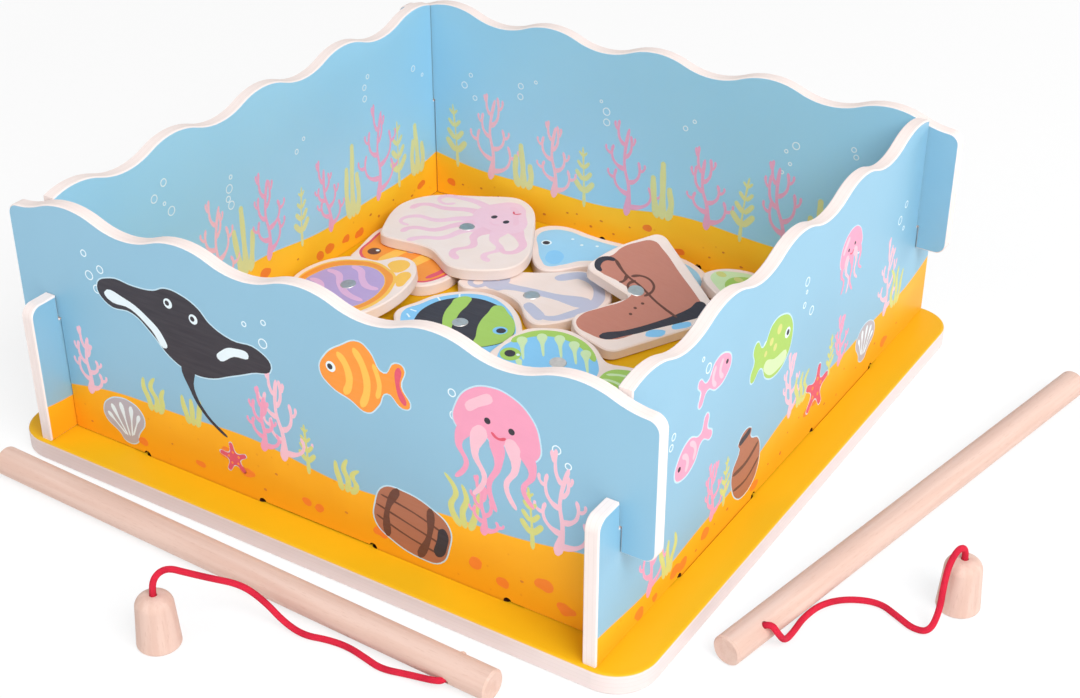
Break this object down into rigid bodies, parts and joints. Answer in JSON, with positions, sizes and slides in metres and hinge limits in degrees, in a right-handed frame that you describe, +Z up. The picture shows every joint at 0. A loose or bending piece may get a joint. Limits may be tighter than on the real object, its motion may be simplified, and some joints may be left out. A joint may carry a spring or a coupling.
{
  "type": "magnetic fishing game",
  "caption": "Wooden fishing game: a square pond of wavy plywood walls slotted into a base board, flat sea-creature pieces with steel discs, and dowel rods with a magnet bell on a cord.",
  "frame": {"origin": "centre of the base board's underside, on the floor", "axes": "+Z up, +X to the right along the front wall, +Y from the front wall to the back wall"},
  "size_m": [0.3825, 0.3697, 0.1143],
  "materials": {
    "base_paint": "printed plywood, satin",
    "wall_paint": "printed plywood, satin",
    "octopus_paint": "printed plywood, satin",
    "orange_fish_paint": "printed plywood, satin",
    "purple_fish_paint": "printed plywood, satin",
    "anchor_paint": "printed plywood, satin",
    "whale_paint": "printed plywood, satin",
    "turtle_paint": "printed plywood, satin",
    "striped_fish_paint": "printed plywood, satin",
    "green_tail_fish_paint": "printed plywood, satin",
    "boot_paint": "printed plywood, satin",
    "disc_steel": "dull zinc",
    "rod_wood": "bare beech, fine sanded",
    "bell_wood": "bare beech, fine sanded",
    "magnet_steel": "nickel",
    "cord_red": "braided cotton cord"
  },
  "bodies": {
    "root": {"base_board": "base_paint", "front_wall": "wall_paint", "back_wall": "wall_paint", "left_wall": "wall_paint", "right_wall": "wall_paint", "octopus_piece": "octopus_paint", "octopus_disc": "disc_steel", "orange_fish_piece": "orange_fish_paint", "orange_fish_disc": "disc_steel", "purple_fish_piece": "purple_fish_paint", "purple_fish_disc": "disc_steel", "anchor_piece": "anchor_paint", "anchor_disc": "disc_steel", "whale_piece": "whale_paint", "whale_disc": "disc_steel", "turtle_piece": "turtle_paint", "turtle_disc": "disc_steel", "striped_fish_piece": "striped_fish_paint", "striped_fish_disc": "disc_steel", "green_tail_fish_piece": "green_tail_fish_paint", "green_tail_fish_disc": "disc_steel", "boot_piece": "boot_paint", "boot_disc": "disc_steel", "left_rod": "rod_wood", "left_rod_peg": "rod_wood", "left_cord": "cord_red", "left_cord_knot": "cord_red", "left_bell": "bell_wood", "left_bell_magnet": "magnet_steel", "right_rod": "rod_wood", "right_rod_peg": "rod_wood", "right_cord": "cord_red", "right_cord_knot": "cord_red", "right_bell": "bell_wood", "right_bell_magnet": "magnet_steel"}
  },
  "joints": []
}
